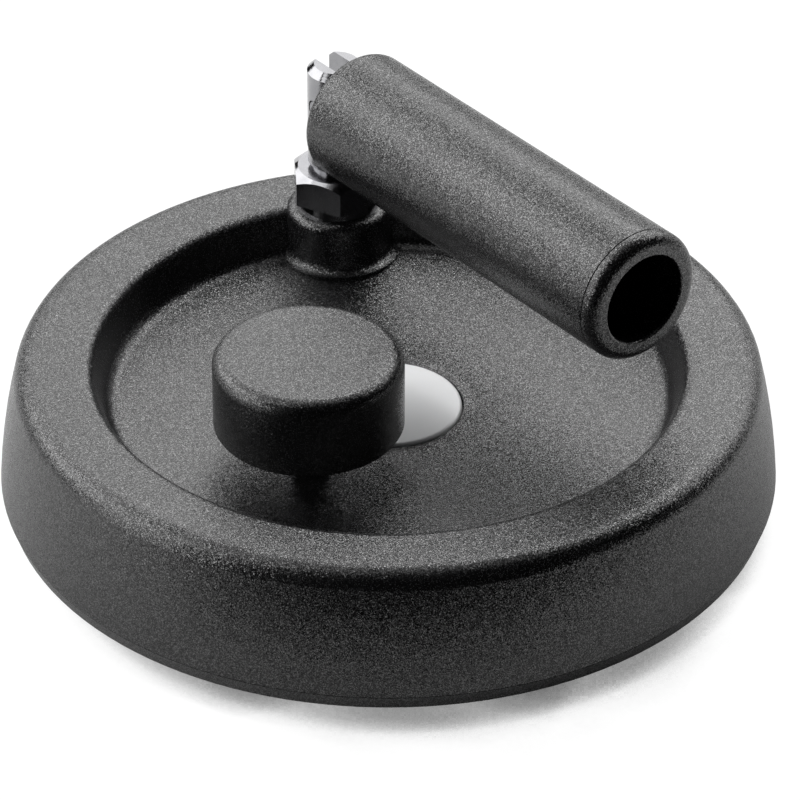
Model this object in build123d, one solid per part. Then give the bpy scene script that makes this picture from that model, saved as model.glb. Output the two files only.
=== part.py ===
from build123d import *
import math
import os

# A solid-disc handwheel, 160 mm across, in black moulded plastic. It has a keyed steel
# hub insert under a light grey cap, a finger knob that turns on a shoulder screw, and a
# revolving handle that folds down over the disc on a forked hinge stud.
# Sizes are in millimetres. The wheel's axis is Z, and its hub face stands on z = 0.

# Fits
running_fit = 0.05        # radial clearance of a turning or sliding fit
seat_gap = 0.03           # clearance round a piece that is moulded in, pressed or screwed
side_gap = 0.2            # free play beside a moving piece
edge_break = 0.3          # small chamfer that takes the sharpness off an edge
cut_over = 1.0            # a cutting shape reaches this far past what it cuts

# Wheel rim
wheel_d = 160.0           # over the mould's parting line
rim_lift = 5.0            # hub face to the rim's lower edge
rim_h = 29.6              # lower edge to the outer top
parting_h = 3.2           # lower edge to the parting line
parting_step = 0.15       # the strip below the parting line lies back this far
parting_notch = 0.25      # depth and height of the fine notch at the parting line
lower_edge_in = 1.1       # step inwards below the parting line
rim_lean = 4.6            # the outer wall leans in this far up to the top
rim_bulge = 0.7           # the outer wall's crown
rim_corner_r = 4.5        # outer top corner
rim_fall = 0.75           # the top face falls this much towards the recess
rim_wall = 3.6            # wall of the hollow rim
rim_mouth_in = 3.9        # the hollow's mouth, inside the lower edge
hollow_draft = 0.5        # the hollow narrows this much on each side up to its top
hollow_corner_share = 0.175  # corner radius at the hollow's top, as a share of its width
under_fillet_r = 2.0      # fillets under the disc

# Recess and disc
rim_w = 19.35             # rim, from the parting line in to the recess's top edge
recess_wall_in = 3.35     # the recess's wall leans in this far down to its foot
recess_lip_r = 2.5        # rounded top edge of the recess
recess_foot_r = 3.0       # fillet at the foot of the recess
disc_rim_h = 19.7         # lower edge to the disc's top, at the foot of the recess
disc_hub_h = 17.0         # lower edge to the disc's top, round the cap
disc_flat_d = 36.0        # flat middle of the dished disc
disc_t = 4.2              # disc thickness

# Hub
hub_d = 42.0
hub_draft = 1.2           # the hub grows this much in radius up to the disc
hub_edge_r = 0.8          # rounded edge of the hub's lower end
bore_d = 16.0
key_w = 5.0
key_depth = 2.3
insert_d = 28.0
insert_l = 16.0
insert_groove_w = 3.0
insert_groove_depth = 1.2
insert_chamfer = 0.8
socket_d = 24.0           # counterbore over the insert, for a retaining screw and washer

# Centre cap
cap_d = 30.2
cap_ring_gap = 0.4        # dark ring between the cap and the disc
cap_seat_depth = 1.4      # cap recess in the disc
cap_edge_h = 1.95         # thickness at the cap's edge
cap_edge_r = 0.8
cap_crown = 1.2           # the domed top rises this much
cap_wall = 1.5
cap_skirt_l = 3.0

# Ribs under the disc
rib_count = 8
rib_t = 2.6
rib_clear = 3.0           # ribs stop this far above the rim's lower edge

# Handle boss and its threaded insert
boss_in = 21.4            # handle stud, in from the parting line
boss_angle = 100.7
boss_top_d = 21.6
boss_draft = 0.8          # the boss grows this much in radius down to the disc
boss_edge_r = 1.9
boss_foot_r = 2.0
boss_h = 30.6             # rim's lower edge to the boss top
boss_socket_d = 20.0      # boss below the disc
boss_floor_t = 3.0        # plastic under the insert
stud_insert_d = 14.0
stud_insert_l = 15.0
waist_depth = 0.6         # locking groove round a threaded insert
waist_share = 0.2         # width of that groove, as a share of the insert's length

# Hinge stud
stud_thread_d = 10.0
thread_chamfer = 1.0      # lead at the thread's end
stud_thread_l = 14.0
collar_d = 17.6           # round seat below the hexagon
collar_h = 2.3
hex_af = 18.0
hex_h = 7.0
hex_bevel_in = 0.6        # the bevel's circle lies this far inside the flats
hex_bevel_angle = 40.0
hex_turn = 33.7           # one corner of the hexagon, measured from -X towards -Y
neck_d = 10.6
neck_h = 1.1
fork_d = 12.5
pivot_h = 24.9            # boss top to the hinge axis
fork_over = 9.15          # prongs above the hinge axis
fork_chamfer = 1.5
fork_slot = 4.9
fork_slot_below = 6.4     # slot floor below the hinge axis
pin_d = 4.0

# Handle
fold_heading = -51.5      # direction of the folded handle, from +X
handle_d = 27.8
handle_l = 92.3           # sleeve and end ring together
handle_inner_r = 1.6      # rounded inner end
handle_gap = 0.15         # folded sleeve to the fork
fork_bore_d = 13.2        # sleeve bore that slides over the fork
fork_bore_l = 30.0
lead_in_d = 17.2          # flared mouth of that bore
lead_in_l = 3.0
guide_l = 6.0             # sleeve web that runs on the spindle
chamber_d = 19.0          # spring chamber, and the bore seen in the free end
ring_l = 3.3              # end ring's collar outside the sleeve
ring_spigot_l = 8.0
ring_spigot_t = 1.4
ring_edge_r = 2.5
ring_bore_r = 0.5         # rounded mouth of the bore
joint_break = 0.15        # chamfers that leave a fine line between sleeve and ring

# Spindle, spring and retaining pieces
spindle_d = 9.0
tang_w = 10.0
tang_l = 10.8             # hinge axis to the spindle's round part
tang_collar_l = 1.6
spindle_l = 62.0          # hinge axis to the spindle's end
plate_d = 18.2
plate_t = 1.5
plate_bore_d = 5.3
screw_d = 5.0
screw_l = 14.0
screw_head_d = 9.2
screw_head_h = 3.0
screw_socket_af = 3.0
screw_socket_depth = 1.6
thrust_d = 17.0
thrust_t = 1.2
spring_wire_d = 1.0
spring_d = 15.0           # mean coil diameter
spring_turns = 10.0

# Finger knob
knob_pcd = 52.7           # circle through the knob's axis
knob_angle = 232.8
knob_d = 38.4
knob_h = 16.8
knob_edge_r = 2.8
knob_lip = 0.4            # step at the lower edge
knob_lip_h = 0.7
knob_clear = 9.5          # knob to the disc below it
knob_wall = 2.6
knob_top_t = 3.0
knob_seat_step = 1.0      # ledge that the base plate stops against
knob_hollow_r = 1.5       # corner of the hollow below the knob's top
knob_base_t = 2.4
knob_base_recess = 0.8    # base plate lies this far inside the lower edge
knob_hub_d = 15.0
knob_hub_l = 9.0
knob_rib_t = 1.2
knob_rib_count = 6
knob_rib_drop = 1.5       # the webs start this far below the hub's top
bush_d = 11.0
bush_flange_d = 14.0
bush_flange_t = 1.0
journal_d = 8.0
knob_stem_d = 10.0
stem_flats = 8.0          # two flats for a spanner at the stem's foot
stem_flats_h = 3.6
stem_thread_d = 6.0
stem_thread_l = 9.0
knob_insert_d = 9.0
knob_insert_l = 10.0
knob_pad_d = 12.0
knob_pad_h = 0.45
knob_socket_d = 15.0
knob_washer_d = 12.5
knob_washer_t = 0.8
clip_d = 11.5
clip_t = 0.8
clip_groove_d = 6.4
clip_mouth = 5.0
stem_tip = 1.6            # stem beyond the clip's groove

# Sizes that follow from the ones above
wheel_r = wheel_d / 2
recess_top_d = wheel_d - 2 * rim_w
recess_foot_d = recess_top_d - 2 * recess_wall_in
boss_pcd = wheel_d - 2 * boss_in

# Heights above the hub face
rim_top_z = rim_lift + rim_h
disc_rim_z = rim_lift + disc_rim_h
disc_hub_z = rim_lift + disc_hub_h
boss_top_z = rim_lift + boss_h
pivot_z = boss_top_z + pivot_h
recess_top_z = rim_top_z - rim_fall
cap_seat_z = disc_hub_z - cap_seat_depth
disc_slope = (disc_rim_h - disc_hub_h) / (recess_foot_d / 2 - disc_flat_d / 2)


def polar(pcd, angle):
    """A point on a circle about the wheel's axis."""
    turn = math.radians(angle)
    return pcd / 2 * math.cos(turn), pcd / 2 * math.sin(turn)


def rounded(face, corners):
    """A flat outline with the corners nearest to the given points rounded."""
    for point, radius in corners:
        corner = face.vertices().sort_by_distance(point)[0]
        face = fillet(corner, radius)
    return face


def turned(face):
    """The solid that a half outline in X and Z sweeps about Z."""
    return revolve(Plane.XZ * face, Axis.Z)


def drum(diameter, low, high):
    """A plain cylinder about Z between two heights."""
    return Pos(0, 0, (low + high) / 2) * Cylinder(diameter / 2, high - low)


def hexagon(across_flats, low, high, turn=0.0):
    """A hexagonal prism about Z between two heights."""
    outline = RegularPolygon(across_flats / 2, 6, major_radius=False, rotation=turn)
    return extrude(Pos(0, 0, low) * outline, high - low)


def disc_height(radius):
    """Height of the dished disc's top at a distance from the wheel's axis."""
    return disc_hub_z + max(0.0, radius - disc_flat_d / 2) * disc_slope


# Places
stud_x, stud_y = polar(boss_pcd, boss_angle)
knob_x, knob_y = polar(knob_pcd, knob_angle)
at_stud = Pos(stud_x, stud_y, 0)
at_knob = Pos(knob_x, knob_y, 0)
# The handle is drawn upright on its own Z axis from the hinge pin, then laid down.
folded = Pos(stud_x, stud_y, pivot_z) * Rot(0, 0, fold_heading) * Rot(0, 90, 0)
fork_face = Rot(0, 0, fold_heading)

knob_seat_z = disc_height(knob_pcd / 2) + knob_pad_h
knob_low_z = disc_height(knob_pcd / 2) + knob_clear
knob_top_z = knob_low_z + knob_h


def wheel_section():
    """Half section of the one-piece wheel, outside and inside."""
    low = rim_lift
    outer_top = (wheel_r - rim_lean, rim_top_z)
    inner_top = (recess_top_d / 2, recess_top_z)
    foot = (recess_foot_d / 2, disc_rim_z)
    flat = (disc_flat_d / 2, disc_hub_z)
    ring_r = cap_d / 2 + cap_ring_gap
    hole_r = insert_d / 2 + seat_gap
    hole_top = insert_l + seat_gap
    hub_top = disc_hub_z - disc_t
    hollow_top = recess_top_z - rim_wall
    wall_foot = (recess_foot_d / 2 + rim_wall, disc_rim_z - disc_t)
    wall_top = (recess_top_d / 2 + rim_wall - hollow_draft, hollow_top)
    hollow_out = (wheel_r - rim_lean - rim_wall + hollow_draft, hollow_top)
    hollow_corner_r = hollow_corner_share * (hollow_out[0] - wall_top[0])
    mouth = (wheel_r - lower_edge_in - rim_mouth_in, low)

    lower_strip = Polyline(
        (wheel_r - lower_edge_in, low),
        (wheel_r - parting_step, low + parting_h - parting_notch),
        (wheel_r - parting_step - parting_notch, low + parting_h - parting_notch / 2),
        (wheel_r, low + parting_h),
    )
    outer_wall = SagittaArc((wheel_r, low + parting_h), outer_top, -rim_bulge)
    top_and_hub = Polyline(
        outer_top,
        inner_top,
        foot,
        flat,
        (ring_r, disc_hub_z),
        (ring_r, cap_seat_z),
        (socket_d / 2, cap_seat_z),
        (socket_d / 2, hole_top),
        (hole_r, hole_top),
        (hole_r, 0),
        (hub_d / 2, 0),
        (hub_d / 2 + hub_draft, hub_top),
        wall_foot,
        wall_top,
        hollow_out,
        mouth,
        (wheel_r - lower_edge_in, low),
    )
    section = make_face(lower_strip.edges() + outer_wall.edges() + top_and_hub.edges())
    return rounded(
        section,
        [
            (outer_top, rim_corner_r),
            (inner_top, recess_lip_r),
            (foot, recess_foot_r),
            ((hub_d / 2 + hub_draft, hub_top), under_fillet_r),
            (wall_foot, under_fillet_r),
            (wall_top, hollow_corner_r),
            (hollow_out, hollow_corner_r),
            ((hub_d / 2, 0), hub_edge_r),
        ],
    )


def boss_section():
    """Half section of the handle boss, with its rounded top and flared foot."""
    floor = disc_height(boss_pcd / 2)
    top_r = boss_top_d / 2
    foot_r = top_r + boss_draft
    skirt_r = foot_r + 1.05 * boss_foot_r    # just wider than the fillet needs
    column = Polyline(
        (0, floor - disc_t / 2),
        (skirt_r, floor - disc_t / 2),
        (skirt_r, floor),
        (foot_r, floor),
        (top_r, boss_top_z),
        (0, boss_top_z),
        (0, floor - disc_t / 2),
    )
    return rounded(
        make_face(column.edges()),
        [((foot_r, floor), boss_foot_r), ((top_r, boss_top_z), boss_edge_r)],
    )


def make_wheel_body():
    """The moulded wheel: rim, dished disc, hub, bosses and ribs in one piece."""
    body = turned(wheel_section())

    # Radial ribs stiffen the hub, the disc and the hollow rim from below. Their outline
    # lies inside the walls they join.
    half_wall = rim_wall / 2
    hub_wall = hub_d / 2 - half_wall
    rib_low = rim_lift + rib_clear
    rib = Polyline(
        (hub_wall, rib_low),
        (wheel_r - rim_wall, rib_low),
        (wheel_r - rim_lean - half_wall, recess_top_z - half_wall),
        (recess_top_d / 2 + half_wall, recess_top_z - half_wall),
        (recess_foot_d / 2 + half_wall, disc_rim_z - disc_t / 2),
        (hub_wall, disc_hub_z - disc_t / 2),
        close=True,
    )
    plate = extrude(Plane.XZ * make_face(rib.edges()), rib_t / 2, both=True)
    first_rib = 360 / rib_count / 2
    ribs = [Rot(0, 0, first_rib + i * 360 / rib_count) * plate for i in range(rib_count)]
    body = body + ribs

    # The handle boss stands on the disc and runs into the rim behind it.
    socket_low = boss_top_z - stud_insert_l - boss_floor_t
    body += at_stud * turned(boss_section())
    body += at_stud * drum(boss_socket_d, socket_low, disc_height(boss_pcd / 2))

    # The knob's pad on the disc, and its socket below.
    knob_socket_low = knob_seat_z - knob_insert_l - boss_floor_t
    body += at_knob * drum(knob_pad_d, disc_hub_z - disc_t / 2, knob_seat_z)
    body += at_knob * drum(knob_socket_d, knob_socket_low, disc_hub_z)

    # Seats of the two threaded inserts, open at the top.
    stud_hole_low = boss_top_z - stud_insert_l - seat_gap
    knob_hole_low = knob_seat_z - knob_insert_l - seat_gap
    stud_hole = drum(stud_insert_d + 2 * seat_gap, stud_hole_low, boss_top_z + cut_over)
    knob_hole = drum(knob_insert_d + 2 * seat_gap, knob_hole_low, knob_seat_z + cut_over)
    return body - at_stud * stud_hole - at_knob * knob_hole


def make_hub_insert():
    """Steel hub insert: keyed bore, with a ring groove that locks it in the plastic."""
    blank = drum(insert_d, 0, insert_l)
    blank = chamfer(blank.edges().filter_by(GeomType.CIRCLE), insert_chamfer)
    groove_low = insert_l / 2 - insert_groove_w / 2
    groove = drum(insert_d + 2 * cut_over, groove_low, groove_low + insert_groove_w)
    groove -= drum(insert_d - 2 * insert_groove_depth, groove_low, groove_low + insert_groove_w)
    key_reach = bore_d / 2 + key_depth
    keyway = Pos(0, key_reach / 2, insert_l / 2) * Box(key_w, key_reach, insert_l)
    return blank - groove - drum(bore_d, 0, insert_l) - keyway


def make_centre_cap():
    """Light grey domed cap whose skirt snaps into the hub socket."""
    low = cap_seat_z
    edge_top = low + cap_edge_h
    crown_top = edge_top + cap_crown
    dome_r = ((cap_d / 2) ** 2 + cap_crown**2) / (2 * cap_crown)
    skirt_d = socket_d - 2 * running_fit
    cap = drum(cap_d, low, crown_top) & Pos(0, 0, crown_top - dome_r) * Sphere(dome_r)
    dome = cap.faces().filter_by(GeomType.SPHERE)[0]
    cap = fillet(dome.edges().sort_by(Axis.Z)[0], cap_edge_r)
    cap += drum(skirt_d, low - cap_skirt_l, low)
    return cap - drum(skirt_d - 2 * cap_wall, low - cap_skirt_l, edge_top - cap_wall / 2)


def make_threaded_insert(diameter, length, thread_d):
    """Brass insert moulded into a boss, with a waist that locks it; top face at z = 0."""
    body = drum(diameter, -length, 0)
    waist_w = waist_share * length
    waist_low = -length / 2 - waist_w / 2
    waist = drum(diameter + 2 * cut_over, waist_low, waist_low + waist_w)
    waist -= drum(diameter - 2 * waist_depth, waist_low, waist_low + waist_w)
    return body - waist - drum(thread_d + 2 * seat_gap, -length, 0)


def make_hinge_stud():
    """Plated steel stud: thread, hexagon, relief neck and two-pronged fork."""
    hex_low = boss_top_z + collar_h
    hex_top = hex_low + hex_h
    neck_top = hex_top + neck_h
    fork_top = pivot_z + fork_over
    thread = drum(stud_thread_d, boss_top_z - stud_thread_l, boss_top_z)
    thread = chamfer(thread.faces().sort_by(Axis.Z)[0].edges(), thread_chamfer)

    # The hexagon's corners are bevelled at its top.
    blank_r = hex_af / math.sqrt(3) + cut_over
    bevel_r = hex_af / 2 - hex_bevel_in
    bevel_drop = (blank_r - bevel_r) * math.tan(math.radians(hex_bevel_angle))
    bevel = Polyline(
        (0, hex_low),
        (blank_r, hex_low),
        (blank_r, hex_top - bevel_drop),
        (bevel_r, hex_top),
        (0, hex_top),
        close=True,
    )
    flats = hexagon(hex_af, hex_low, hex_top, hex_turn)
    nut = flats & turned(make_face(bevel.edges()))

    column = drum(fork_d, neck_top, fork_top)
    column = chamfer(column.faces().sort_by(Axis.Z)[-1].edges(), fork_chamfer)
    column = chamfer(column.faces().sort_by(Axis.Z)[0].edges(), edge_break)
    collar = drum(collar_d, boss_top_z, hex_low)
    stud = thread + collar + nut + drum(neck_d, hex_top, neck_top) + column

    slot_low = pivot_z - fork_slot_below
    slot_h = fork_top + cut_over - slot_low
    slot = Pos(0, 0, slot_low + slot_h / 2) * Box(fork_d + 2 * cut_over, fork_slot, slot_h)
    cross_hole = Rot(90, 0, 0) * Cylinder(pin_d / 2 + seat_gap, fork_d + 2 * cut_over)
    cuts = fork_face * (slot + Pos(0, 0, pivot_z) * cross_hole)
    return at_stud * (stud - cuts)


def make_hinge_pin():
    """Steel pin through both prongs, ending just inside the column's surface."""
    half = math.sqrt((fork_d / 2) ** 2 - (pin_d / 2) ** 2)
    pin = Cylinder(pin_d / 2, 2 * half)
    pin = chamfer(pin.edges().filter_by(GeomType.CIRCLE), edge_break)
    return at_stud * Pos(0, 0, pivot_z) * fork_face * Rot(90, 0, 0) * pin


def make_handle_spindle():
    """Flat tang that swings in the fork, and the round spindle that carries the sleeve."""
    tang_t = fork_slot - 2 * side_gap
    tang = Pos(0, 0, tang_l / 2) * Box(tang_w, tang_t, tang_l)
    tang += Rot(90, 0, 0) * Cylinder(tang_w / 2, tang_t)
    collar = drum(tang_w, tang_l, tang_l + tang_collar_l)
    rod = drum(spindle_d, tang_l, spindle_l)
    rod = chamfer(rod.faces().sort_by(Axis.Z)[-1].edges(), 2 * edge_break)
    cross_hole = Rot(90, 0, 0) * Cylinder(pin_d / 2 + running_fit, tang_t + 2 * cut_over)
    tapped = drum(screw_d + 2 * seat_gap, spindle_l - screw_l, spindle_l)
    return folded * (tang + collar + rod - cross_hole - tapped)


sleeve_start = fork_d / 2 + handle_gap
sleeve_end = sleeve_start + handle_l - ring_l
guide_start = sleeve_start + fork_bore_l
guide_end = guide_start + guide_l


def make_handle_sleeve():
    """Moulded grip: flared fork bore, guide web on the spindle, spring chamber."""
    handle_r = handle_d / 2
    bore_r = fork_bore_d / 2
    guide_r = spindle_d / 2 + running_fit
    chamber_r = chamber_d / 2
    spigot_r = chamber_r + ring_spigot_t + seat_gap
    spigot_low = sleeve_end - ring_spigot_l - seat_gap
    inner_corner = (handle_r, sleeve_start)
    outline = Polyline(
        inner_corner,
        (lead_in_d / 2, sleeve_start),
        (bore_r, sleeve_start + lead_in_l),
        (bore_r, guide_start),
        (guide_r, guide_start),
        (guide_r, guide_end),
        (chamber_r, guide_end),
        (chamber_r, spigot_low),
        (spigot_r, spigot_low),
        (spigot_r, sleeve_end),
        (handle_r - joint_break, sleeve_end),
        (handle_r, sleeve_end - joint_break),
        close=True,
    )
    section = rounded(make_face(outline.edges()), [(inner_corner, handle_inner_r)])
    return folded * turned(section)


def make_handle_end_ring():
    """Black ring pressed into the free end, with a rounded outer edge."""
    handle_r = handle_d / 2
    bore_r = chamber_d / 2
    spigot_r = bore_r + ring_spigot_t
    top = sleeve_end + ring_l
    outline = Polyline(
        (bore_r, sleeve_end - ring_spigot_l),
        (spigot_r, sleeve_end - ring_spigot_l),
        (spigot_r, sleeve_end),
        (handle_r - joint_break, sleeve_end),
        (handle_r, sleeve_end + joint_break),
        (handle_r, top),
        (bore_r, top),
        close=True,
    )
    section = rounded(
        make_face(outline.edges()),
        [((handle_r, top), ring_edge_r), ((bore_r, top), ring_bore_r)],
    )
    return folded * turned(section)


thrust_low = guide_end
thrust_high = guide_end + thrust_t
plate_low = spindle_l
plate_high = spindle_l + plate_t


def make_thrust_washer():
    """Steel washer between the spring and the turning sleeve; it slides on the spindle."""
    ring = drum(thrust_d, thrust_low, thrust_high)
    return folded * (ring - drum(spindle_d + 2 * running_fit, thrust_low, thrust_high))


def make_handle_spring():
    """Compression spring that holds the sleeve against the fork, with closed flat ends."""
    low = thrust_high + spring_wire_d / 2
    high = plate_low - spring_wire_d / 2
    pitch = (high - low) / spring_turns
    path = Helix(pitch, high - low, spring_d / 2)
    start = Plane(origin=path @ 0, z_dir=path % 0)
    coil = sweep(start * Circle(spring_wire_d / 2), path)
    return folded * Pos(0, 0, low) * coil


def make_spring_plate():
    """Steel plate on the spindle's end that backs the spring."""
    ring = drum(plate_d, plate_low, plate_high)
    return folded * (ring - drum(plate_bore_d, plate_low, plate_high))


def make_spindle_screw():
    """Socket-head screw that holds the plate on the spindle."""
    head = drum(screw_head_d, plate_high, plate_high + screw_head_h)
    head = chamfer(head.faces().sort_by(Axis.Z)[-1].edges(), edge_break)
    shank = drum(screw_d, plate_high - screw_l + plate_t, plate_high)
    socket_low = plate_high + screw_head_h - screw_socket_depth
    socket = hexagon(screw_socket_af, socket_low, plate_high + screw_head_h)
    return folded * (head + shank - socket)


def make_knob_shell():
    """Cup-shaped top of the finger knob."""
    r = knob_d / 2
    top = (r, knob_top_z)
    seat_r = r - knob_wall + seat_gap
    seat_z = knob_low_z + knob_base_recess + knob_base_t + seat_gap
    ceiling = knob_top_z - knob_top_t
    inner_r = seat_r - knob_seat_step
    outline = Polyline(
        (0, knob_top_z),
        top,
        (r, knob_low_z + knob_lip_h),
        (r - knob_lip, knob_low_z + knob_lip_h),
        (r - knob_lip, knob_low_z),
        (seat_r, knob_low_z),
        (seat_r, seat_z),
        (inner_r, seat_z),
        (inner_r, ceiling),
        (0, ceiling),
        close=True,
    )
    section = rounded(
        make_face(outline.edges()),
        [(top, knob_edge_r), ((inner_r, ceiling), knob_hollow_r)],
    )
    return at_knob * turned(section)


base_low_z = knob_low_z + knob_base_recess
base_top_z = base_low_z + knob_base_t
hub_top_z = base_low_z + knob_hub_l


def make_knob_base():
    """Plate pressed into the shell from below, with the bearing hub on it."""
    plate = drum(knob_d - 2 * knob_wall, base_low_z, base_top_z)
    hub = drum(knob_hub_d, base_low_z, hub_top_z)
    webs = [Rot(0, 0, i * 360 / knob_rib_count) * make_knob_rib() for i in range(knob_rib_count)]
    base = plate + hub + webs
    return at_knob * (base - drum(bush_d + 2 * seat_gap, base_low_z, hub_top_z))


def make_knob_rib():
    """One of the small webs between the knob's hub and its base plate."""
    sunk = knob_base_t / 4
    rim_r = knob_d / 2 - knob_wall - knob_seat_step - sunk
    outline = Polyline(
        (knob_hub_d / 2 - sunk, base_top_z - sunk),
        (rim_r, base_top_z - sunk),
        (rim_r, base_top_z + sunk),
        (knob_hub_d / 2 - sunk, hub_top_z - knob_rib_drop),
        close=True,
    )
    return extrude(Plane.XZ * make_face(outline.edges()), knob_rib_t / 2, both=True)


def make_knob_bush():
    """Flanged plain bush pressed into the knob's hub."""
    flange = drum(bush_flange_d, base_low_z - bush_flange_t, base_low_z)
    barrel = drum(bush_d, base_low_z, hub_top_z)
    bore = drum(journal_d + 2 * running_fit, base_low_z - bush_flange_t, hub_top_z)
    return at_knob * (flange + barrel - bore)


shoulder_z = base_low_z - bush_flange_t - side_gap
washer_low_z = hub_top_z + side_gap
washer_top_z = washer_low_z + knob_washer_t
clip_low_z = washer_top_z + seat_gap
stem_top_z = clip_low_z + clip_t + seat_gap + stem_tip


def make_knob_stem():
    """Shoulder screw that carries the knob: thread, stem with flats, journal, clip groove."""
    thread = drum(stem_thread_d, knob_seat_z - stem_thread_l, knob_seat_z)
    thread = chamfer(thread.faces().sort_by(Axis.Z)[0].edges(), 2 * edge_break)
    stem = drum(knob_stem_d, knob_seat_z, shoulder_z)
    foot_z = knob_seat_z + stem_flats_h / 2
    flats = Pos(0, 0, foot_z) * Box(knob_stem_d, stem_flats, stem_flats_h)
    stem &= flats + drum(knob_stem_d, knob_seat_z + stem_flats_h, shoulder_z)
    journal = drum(journal_d, shoulder_z, stem_top_z)
    journal = chamfer(journal.faces().sort_by(Axis.Z)[-1].edges(), edge_break)
    groove_low = clip_low_z - seat_gap
    groove_high = clip_low_z + clip_t + seat_gap
    groove = drum(journal_d + 2 * cut_over, groove_low, groove_high)
    groove -= drum(clip_groove_d, groove_low, groove_high)
    return at_knob * (thread + stem + journal - groove)


def make_knob_washer():
    """Thin washer on top of the bush."""
    ring = drum(knob_washer_d, washer_low_z, washer_top_z)
    return at_knob * (ring - drum(journal_d + 2 * seat_gap, washer_low_z, washer_top_z))


def make_knob_clip():
    """Open spring clip in the stem's groove."""
    clip_high_z = clip_low_z + clip_t
    ring = drum(clip_d, clip_low_z, clip_high_z)
    ring -= drum(clip_groove_d + 2 * seat_gap, clip_low_z, clip_high_z)
    mouth = Pos(clip_d / 2, 0, (clip_low_z + clip_high_z) / 2) * Box(clip_d, clip_mouth, clip_t)
    return at_knob * (ring - mouth)


stud_insert = make_threaded_insert(stud_insert_d, stud_insert_l, stud_thread_d)
knob_insert = make_threaded_insert(knob_insert_d, knob_insert_l, stem_thread_d)

nodes = {
    "wheel_body": make_wheel_body(),
    "hub_insert": make_hub_insert(),
    "centre_cap": make_centre_cap(),
    "stud_insert": at_stud * Pos(0, 0, boss_top_z) * stud_insert,
    "knob_insert": at_knob * Pos(0, 0, knob_seat_z) * knob_insert,
    "hinge_stud": make_hinge_stud(),
    "hinge_pin": make_hinge_pin(),
    "handle_spindle": make_handle_spindle(),
    "handle_sleeve": make_handle_sleeve(),
    "handle_end_ring": make_handle_end_ring(),
    "thrust_washer": make_thrust_washer(),
    "handle_spring": make_handle_spring(),
    "spring_plate": make_spring_plate(),
    "spindle_screw": make_spindle_screw(),
    "knob_shell": make_knob_shell(),
    "knob_base": make_knob_base(),
    "knob_bush": make_knob_bush(),
    "knob_stem": make_knob_stem(),
    "knob_washer": make_knob_washer(),
    "knob_clip": make_knob_clip(),
}

os.makedirs("parts", exist_ok=True)
for name, solid in nodes.items():
    export_step(solid, "parts/" + name + ".step")
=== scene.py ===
import math

import bpy
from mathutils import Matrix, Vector

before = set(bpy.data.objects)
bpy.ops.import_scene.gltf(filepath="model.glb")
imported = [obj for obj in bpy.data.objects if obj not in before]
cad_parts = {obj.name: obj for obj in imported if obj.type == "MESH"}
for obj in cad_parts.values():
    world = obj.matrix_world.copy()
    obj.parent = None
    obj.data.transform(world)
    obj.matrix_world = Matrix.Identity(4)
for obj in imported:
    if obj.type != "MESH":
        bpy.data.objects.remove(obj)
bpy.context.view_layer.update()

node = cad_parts

# Camera: a long lens about a metre away, square to the front of the wheel and looking down on it by
# 34 degrees. Its view is shifted a little, as the wheel isn't quite in the middle of the picture.
view_down_deg = 34.22
camera_data = bpy.data.cameras.new("camera")
camera_data.sensor_width = 36.0
camera_data.lens = 208.28
camera_data.shift_x = 0.014375
camera_data.clip_start = 0.05
camera_data.clip_end = 20.0
camera = bpy.data.objects.new("camera", camera_data)
camera.location = (0.0, -0.785226, 0.557287)
camera.rotation_euler = (math.radians(90.0 - view_down_deg), 0.0, 0.0)
bpy.context.scene.collection.objects.link(camera)
bpy.context.scene.camera = camera
bpy.context.scene.view_settings.view_transform = "Standard"


# Studio: a nearly dark room with softboxes behind the wheel, above it and to its left. None stands
# straight in front, so what faces the camera steeply stays nearly black.
def linear(hex_colour):
    """Linear RGBA of an sRGB colour written as hex digits."""
    channels = []
    for i in (0, 2, 4):
        c = int(hex_colour[i:i + 2], 16) / 255
        channels.append(c / 12.92 if c <= 0.04045 else ((c + 0.055) / 1.055) ** 2.4)
    return (*channels, 1.0)


def add(tree, kind, settings=None, **links):
    """Adds a shader node. Settings are its properties, links its inputs: values or other nodes' outputs."""
    new = tree.nodes.new(kind)
    for name, value in (settings or {}).items():
        setattr(new, name, value)
    for name, value in links.items():
        key = int(name[1:]) if name[0] == "i" and name[1:].isdigit() else name.replace("_", " ")
        socket = new.inputs[key]
        if isinstance(value, bpy.types.NodeSocket):
            tree.links.new(value, socket)
        else:
            socket.default_value = value
    return new


def material(name):
    """An empty material and its node tree."""
    new = bpy.data.materials.new(name)
    new.use_nodes = True
    new.node_tree.nodes.clear()
    return new, new.node_tree


# Only the camera sees the room as white. As light, and in the gloss of the pieces, it is nearly dark.
white_strength = 1.0
room_strength = 0.01
world = bpy.data.worlds.new("studio")
bpy.context.scene.world = world
world.use_nodes = True
tree = world.node_tree
tree.nodes.clear()
rays = add(tree, "ShaderNodeLightPath")
seen = add(tree, "ShaderNodeBackground", Color=linear("ffffff"), Strength=white_strength)
room = add(tree, "ShaderNodeBackground", Color=linear("ffffff"), Strength=room_strength)
both = add(
    tree,
    "ShaderNodeMixShader",
    i0=rays.outputs["Is Camera Ray"],
    i1=room.outputs[0],
    i2=seen.outputs[0],
)
add(tree, "ShaderNodeOutputWorld", Surface=both.outputs[0])

lamp_distance = 1.2
aim_height = 0.03


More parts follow.
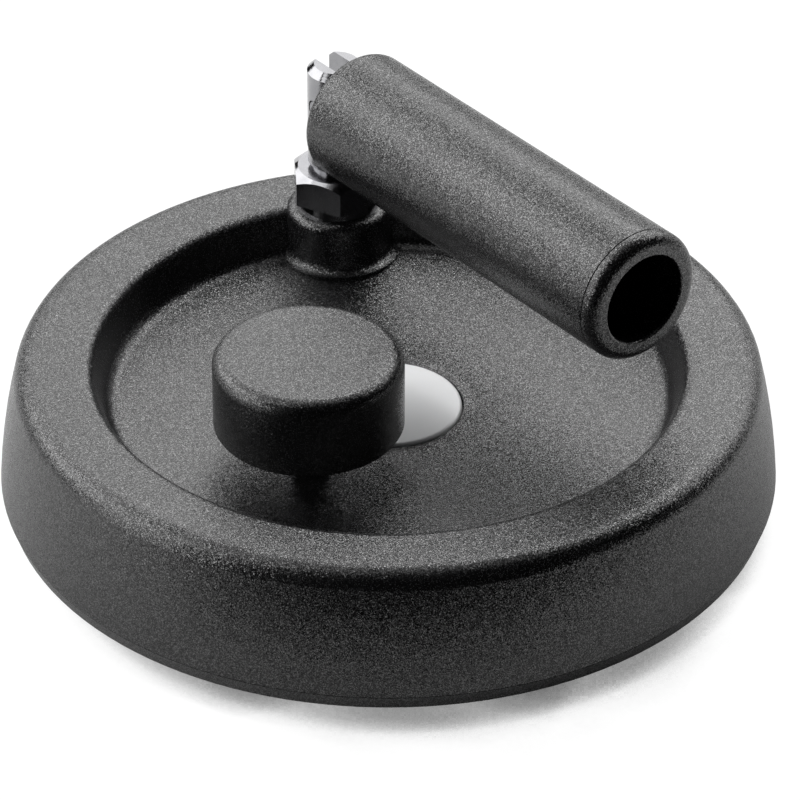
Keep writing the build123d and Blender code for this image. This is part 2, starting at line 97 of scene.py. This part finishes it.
def softbox(name, azimuth, elevation, width, height, brightness):
    """A rectangular lamp aimed at the wheel's axis. Azimuth 0 is right, 90 behind, 180 left.

    A brightness of 1 makes its face as bright as paper that just looks white.
    """
    turn = math.radians(azimuth)
    lift = math.radians(elevation)
    aim = Vector((0, 0, aim_height))
    outward = Vector((math.cos(lift) * math.cos(turn), math.cos(lift) * math.sin(turn), math.sin(lift)))
    place = aim + lamp_distance * outward
    lamp = bpy.data.lights.new(name, "AREA")
    lamp.shape = "RECTANGLE"
    lamp.size = width
    lamp.size_y = height
    lamp.energy = brightness * math.pi * width * height
    box = bpy.data.objects.new(name, lamp)
    box.location = place
    box.rotation_euler = (aim - place).to_track_quat("-Z", "Y").to_euler()
    bpy.context.scene.collection.objects.link(box)


softbox("back right softbox", 45, 33, 0.85, 1.00, 2.35)
softbox("back softbox", 95, 33, 1.00, 1.00, 1.9)
softbox("high back softbox", 75, 45, 0.50, 0.50, 1.3)
softbox("left softbox", 152, 32, 1.15, 0.80, 2.9)
softbox("high left softbox", 185, 60, 0.60, 0.50, 2.0)
softbox("front left softbox", 200, 30, 0.50, 0.50, 2.2)
softbox("low left softbox", 200, 9, 0.80, 0.30, 3.3)
softbox("top softbox", 90, 80, 0.70, 0.70, 0.65)

# Sheet: plain white paper, lying flat under the wheel. Its front edge is just below the picture, so
# what the front of the wheel mirrors is the dark room.
sheet_front = -0.13
sheet_back = 0.75
sheet_half_width = 0.70
sheet_mesh = bpy.data.meshes.new("paper sheet")
sheet_corners = [
    (-sheet_half_width, sheet_front, 0.0),
    (sheet_half_width, sheet_front, 0.0),
    (sheet_half_width, sheet_back, 0.0),
    (-sheet_half_width, sheet_back, 0.0),
]
sheet_mesh.from_pydata(sheet_corners, [], [(0, 1, 2, 3)])
sheet = bpy.data.objects.new("paper sheet", sheet_mesh)
bpy.context.scene.collection.objects.link(sheet)

# White paper has no gloss. To the camera it glows white, with a painted shadow: where the wheel is close
# and hides the sky behind and above, by a measure of occlusion, the glow is turned down. This painted
# shadow lies in front, soft, narrow and darker towards the right.
# The side of the painted light whose occlusion gives the painted shadow.
painted_light_azimuth = math.radians(112)
painted_light_elevation = math.radians(22)
shadow_reach = 0.060
# The painted shadow is darkest where this share of the painted light's side is open, and gone where
# the next one is.
open_in_shadow = 0.355
open_outside = 0.58
shadow_level = 0.10
paper_level = 1.10
# For the rest, the camera sees the paper as the lamps light it.
painted_shadow_glow_share = 0.9
paper, tree = material("white paper")
lit = add(tree, "ShaderNodeBsdfDiffuse", Color=linear("f4f4f4"))
skyward = add(
    tree,
    "ShaderNodeCombineXYZ",
    X=math.cos(painted_light_elevation) * math.cos(painted_light_azimuth),
    Y=math.cos(painted_light_elevation) * math.sin(painted_light_azimuth),
    Z=math.sin(painted_light_elevation),
)
near = add(
    tree,
    "ShaderNodeAmbientOcclusion",
    {"samples": 16},
    Distance=shadow_reach,
    Normal=skyward.outputs[0],
)
level = add(
    tree,
    "ShaderNodeMapRange",
    {"interpolation_type": "SMOOTHSTEP"},
    Value=near.outputs["AO"],
    From_Min=open_in_shadow,
    From_Max=open_outside,
    To_Min=shadow_level,
    To_Max=paper_level,
)
# Painted shadow: an emission stands in for lit paper and is turned down where the wheel is close.
glow_with_painted_shadow = add(tree, "ShaderNodeEmission", Color=linear("ffffff"), Strength=level.outputs[0])
rays = add(tree, "ShaderNodeLightPath")
share = add(
    tree,
    "ShaderNodeMath",
    {"operation": "MULTIPLY"},
    i0=rays.outputs["Is Camera Ray"],
    i1=painted_shadow_glow_share,
)
both = add(tree, "ShaderNodeMixShader", i0=share.outputs[0], i1=lit.outputs[0], i2=glow_with_painted_shadow.outputs[0])
# From below the sheet is clear, so that the hollow underside can be looked at.
side = add(tree, "ShaderNodeNewGeometry")
clear = add(tree, "ShaderNodeBsdfTransparent")
one_sided = add(
    tree,
    "ShaderNodeMixShader",
    i0=side.outputs["Backfacing"],
    i1=both.outputs[0],
    i2=clear.outputs[0],
)
add(tree, "ShaderNodeOutputMaterial", Surface=one_sided.outputs[0])
sheet_mesh.materials.append(paper)

# Wheel body: one moulding in black glass-filled plastic. Rim, dished disc, hub, handle boss and the
# ribs below are all part of it. The mould was spark-eroded, which leaves an even, pitted grain.

# Most values of a noise texture lie between these two.
noise_low = 0.3
noise_high = 0.7


def moulded_black(name, colour, grain_mm, tilt, roughness):
    """Black plastic from a spark-eroded mould: small craters, each of them tilted its own way."""
    plastic, tree = material(name)
    place = add(tree, "ShaderNodeTexCoord").outputs["Object"]
    # Each crater mirrors another part of the room, so the grain glitters where a lamp shines on it.
    craters = add(
        tree,
        "ShaderNodeTexVoronoi",
        {"feature": "F1"},
        Vector=place,
        Scale=1000 / grain_mm,
    )
    lean = add(
        tree,
        "ShaderNodeVectorMath",
        {"operation": "SUBTRACT"},
        i0=craters.outputs["Color"],
        i1=(0.5, 0.5, 0.5),
    )
    facet = add(tree, "ShaderNodeVectorMath", {"operation": "SCALE"}, i0=lean.outputs[0], Scale=tilt)
    # Shallow waves, two or three craters long, run across them.
    wave_mm = 2.5 * grain_mm
    wave_depth_mm = 0.08 * grain_mm
    waves = add(tree, "ShaderNodeTexNoise", Vector=place, Scale=1000 / wave_mm, Detail=1.0)
    relief = add(
        tree,
        "ShaderNodeBump",
        Height=waves.outputs[0],
        Strength=1.0,
        Distance=wave_depth_mm / 1000,
    )
    leaning = add(
        tree,
        "ShaderNodeVectorMath",
        {"operation": "ADD"},
        i0=relief.outputs[0],
        i1=facet.outputs[0],
    )
    normal = add(tree, "ShaderNodeVectorMath", {"operation": "NORMALIZE"}, i0=leaning.outputs[0])
    # Broad patches, nine in 200 mm, came out of the mould a little duller or shinier.
    patch_mm = 200 / 9
    patch_spread = 0.03
    patches = add(
        tree,
        "ShaderNodeTexNoise",
        Vector=place,
        Scale=1000 / patch_mm,
        Detail=3.0,
        Roughness=0.55,
    )
    polish = add(
        tree,
        "ShaderNodeMapRange",
        Value=patches.outputs[0],
        From_Min=noise_low,
        From_Max=noise_high,
        To_Min=roughness - patch_spread,
        To_Max=roughness + patch_spread,
    )
    # Nearly half of the craters lie more or less open and mirror more. The rest mirror less, as painted
    # shade: a darker specular tint stands in for the shade that falls in their own pits.
    chance = add(tree, "ShaderNodeTexWhiteNoise", Vector=craters.outputs["Position"])
    unshaded_crater_mask = add(
        tree,
        "ShaderNodeMapRange",
        Value=chance.outputs["Value"],
        From_Min=0.55,
        From_Max=0.95,
    )
    # Painted shade: the specular tint is darker in the shaded craters and white in the open ones.
    shine = add(
        tree,
        "ShaderNodeMix",
        {"data_type": "RGBA"},
        i0=unshaded_crater_mask.outputs[0],
        i6=linear("8a8a8a"),
        i7=linear("ffffff"),
    )
    # In one crater out of five a filler fibre lies near the surface and looks paler.
    pick = add(tree, "ShaderNodeSeparateColor", Color=craters.outputs["Color"])
    fibre = add(tree, "ShaderNodeMapRange", Value=pick.outputs[0], From_Min=0.8, From_Max=1.0)
    shade = add(
        tree,
        "ShaderNodeMix",
        {"data_type": "RGBA"},
        i0=fibre.outputs[0],
        i6=linear(colour),
        i7=linear("4a4a4b"),
    )
    # A plain plastic has an IOR of 1.5 and a specular level of 0.5. With the two values here the
    # craters mirror about twice as much between them, which it took to match the photograph.
    surface = add(
        tree,
        "ShaderNodeBsdfPrincipled",
        Base_Color=shade.outputs[2],
        Roughness=polish.outputs[0],
        IOR=1.85,
        Specular_IOR_Level=1.0,
        Specular_Tint=shine.outputs[2],
        Normal=normal.outputs[0],
    )
    add(tree, "ShaderNodeOutputMaterial", Surface=surface.outputs[0])
    return plastic


def dress(name, new):
    """Gives a piece its finish."""
    node[name].data.materials.clear()
    node[name].data.materials.append(new)


# Such a grain is usually finer. It is drawn about as coarse as one pixel, so that it shows.
grain_mm = 0.16
wheel_plastic = moulded_black(
    "black glass-filled plastic, spark-eroded",
    "070708",
    grain_mm,
    tilt=0.40,
    roughness=0.24,
)
dress("wheel_body", wheel_plastic)


# Hub insert: a steel bush with a keyed bore, turned on a lathe and moulded into the hub. The shaft
# slides into it. Turned steel is a dull grey, and its rings draw a lamp's reflection out into a streak.
def turned(name, light, dark, roughness, axis_mm, feed_mm):
    """Lathe-turned metal: fine rings round its own axis, and faint clouds between two tones."""
    metal, tree = material(name)
    place = add(tree, "ShaderNodeTexCoord").outputs["Object"]
    axis = (axis_mm[0] / 1000, axis_mm[1] / 1000, 0.0)
    off = add(tree, "ShaderNodeVectorMath", {"operation": "SUBTRACT"}, i0=place, i1=axis)
    part = add(tree, "ShaderNodeSeparateXYZ", Vector=off.outputs[0])
    flat = add(tree, "ShaderNodeCombineXYZ", X=part.outputs["X"], Y=part.outputs["Y"])
    radius = add(tree, "ShaderNodeVectorMath", {"operation": "LENGTH"}, i0=flat.outputs[0])
    # The rings run on from the faces to the walls. If height counted as much as radius, they would
    # vanish on a bevel of 45 degrees, so it counts for more.
    height_weight = 1.7
    along = add(
        tree,
        "ShaderNodeMath",
        {"operation": "MULTIPLY_ADD"},
        i0=part.outputs["Z"],
        i1=height_weight,
        i2=radius.outputs["Value"],
    )
    rings = add(
        tree,
        "ShaderNodeTexNoise",
        {"noise_dimensions": "1D"},
        W=along.outputs[0],
        Scale=1000 / feed_mm,
        Detail=2.0,
    )
    # Seven clouds in 20 mm.
    cloud_mm = 20 / 7
    cloud_spread = 0.05
    clouds = add(tree, "ShaderNodeTexNoise", Vector=place, Scale=1000 / cloud_mm, Detail=3.0)
    colour = add(
        tree,
        "ShaderNodeMix",
        {"data_type": "RGBA"},
        i0=clouds.outputs[0],
        i6=linear(light),
        i7=linear(dark),
    )
    rough = add(
        tree,
        "ShaderNodeMapRange",
        Value=clouds.outputs[0],
        From_Min=noise_low,
        From_Max=noise_high,
        To_Min=roughness - cloud_spread,
        To_Max=roughness + cloud_spread,
    )
    ring_depth_mm = 0.02
    relief = add(
        tree,
        "ShaderNodeBump",
        Height=rings.outputs[0],
        Strength=0.6,
        Distance=ring_depth_mm / 1000,
    )
    surface = add(
        tree,
        "ShaderNodeBsdfPrincipled",
        Base_Color=colour.outputs[2],
        Metallic=1.0,
        Roughness=rough.outputs[0],
        Normal=relief.outputs[0],
    )
    add(tree, "ShaderNodeOutputMaterial", Surface=surface.outputs[0])
    return metal


# A lathe's feed is usually finer. All feeds here are drawn coarser, so that the rings show.
fine_feed_mm = 0.25
hub_axis_mm = (0, 0)
hub_steel = turned("turned steel", "a9a9a6", "8b8b88", 0.34, hub_axis_mm, fine_feed_mm)
dress("hub_insert", hub_steel)


# Centre cap: light grey plastic, moulded smooth, a little domed and snapped into the hub socket. It
# hides the shaft's end. Satin plastic looks nearly white here, with a soft, blurred highlight.
def satin(name, light, dark, low, high):
    """Smooth moulded plastic: two close tones in clouds, and a fine mottle between two roughnesses."""
    plastic, tree = material(name)
    place = add(tree, "ShaderNodeTexCoord").outputs["Object"]
    # Three clouds in 25 mm.
    cloud_mm = 25 / 3
    cloud = add(tree, "ShaderNodeTexNoise", Vector=place, Scale=1000 / cloud_mm, Detail=2.0)
    shade = add(
        tree,
        "ShaderNodeMix",
        {"data_type": "RGBA"},
        i0=cloud.outputs[0],
        i6=linear(light),
        i7=linear(dark),
    )
    mottle_mm = 0.4
    mottle_depth_mm = 0.01
    mottle = add(tree, "ShaderNodeTexNoise", Vector=place, Scale=1000 / mottle_mm, Detail=1.0)
    rough = add(tree, "ShaderNodeMapRange", Value=mottle.outputs[0], To_Min=low, To_Max=high)
    relief = add(
        tree,
        "ShaderNodeBump",
        Height=mottle.outputs[0],
        Strength=0.5,
        Distance=mottle_depth_mm / 1000,
    )
    # The specular level is above a plain plastic's 0.5, so nearly twice as much is mirrored.
    surface = add(
        tree,
        "ShaderNodeBsdfPrincipled",
        Base_Color=shade.outputs[2],
        Roughness=rough.outputs[0],
        Specular_IOR_Level=0.9,
        Normal=relief.outputs[0],
    )
    add(tree, "ShaderNodeOutputMaterial", Surface=surface.outputs[0])
    return plastic


cap_grey = satin("light grey satin plastic", "f6f7f8", "f0f1f2", low=0.20, high=0.28)
dress("centre_cap", cap_grey)

# Threaded inserts: turned brass with a waist, one moulded into the handle boss and one into the disc
# under the knob. Brass gives a warm yellow, with the same streaks as the steel. Both are hidden.
brass = turned("turned brass", "d1b071", "b8955a", 0.30, hub_axis_mm, fine_feed_mm)
dress("stud_insert", brass)
dress("knob_insert", brass)

# Hinge stud and pin: steel, turned and milled, then zinc-plated bright. The stud screws into the boss
# by its hexagon, and the handle folds on the pin through its fork. The plating is pale and nearly a
# mirror, so bevels and prongs show the softboxes.
stud_axis_mm = (-10.88, 57.58)
coarse_feed_mm = 0.35
stud_zinc = turned("bright zinc plating", "a6a6a8", "8c8c8f", 0.14, stud_axis_mm, coarse_feed_mm)
dress("hinge_stud", stud_zinc)
dress("hinge_pin", stud_zinc)

# Spindle, thrust washer, spring, spring plate and screw: steel, and they hold the sleeve from inside.
# The spindle is turned, the spring wound from drawn wire, a duller grey, and the others are plated.
# Their rings run round the hub's or the stud's axis, not their own, as little of them is ever seen.
dress("handle_spindle", hub_steel)
for name in ("thrust_washer", "spring_plate", "spindle_screw"):
    dress(name, stud_zinc)
wire_feed_mm = 0.2
spring_wire = turned("drawn spring wire", "7c7c7d", "5c5c5e", 0.32, hub_axis_mm, wire_feed_mm)
dress("handle_spring", spring_wire)

# Handle sleeve and end ring: black plastic, moulded with the same spark-eroded grain as the wheel.
# The sleeve turns on the spindle, and the ring sits in its free end.
handle_plastic = moulded_black(
    "black handle plastic, spark-eroded",
    "070708",
    grain_mm,
    tilt=0.40,
    roughness=0.24,
)
dress("handle_sleeve", handle_plastic)
dress("handle_end_ring", handle_plastic)

# Finger knob: a black moulded shell closed by a base. It turns on a bush round a plated stem, and a
# washer and a spring clip hold it. The knob's craters lean a little less than the wheel's. The bush is
# natural acetal, which looks waxy: a warm white with a broad, dull highlight.
knob_plastic = moulded_black(
    "black knob plastic, spark-eroded",
    "050506",
    grain_mm,
    tilt=0.36,
    roughness=0.24,
)
dress("knob_shell", knob_plastic)
dress("knob_base", knob_plastic)
acetal = satin("natural acetal, waxy white", "e9e6db", "e2dfd2", low=0.34, high=0.44)
dress("knob_bush", acetal)
dress("knob_stem", stud_zinc)
dress("knob_washer", stud_zinc)
dress("knob_clip", spring_wire)
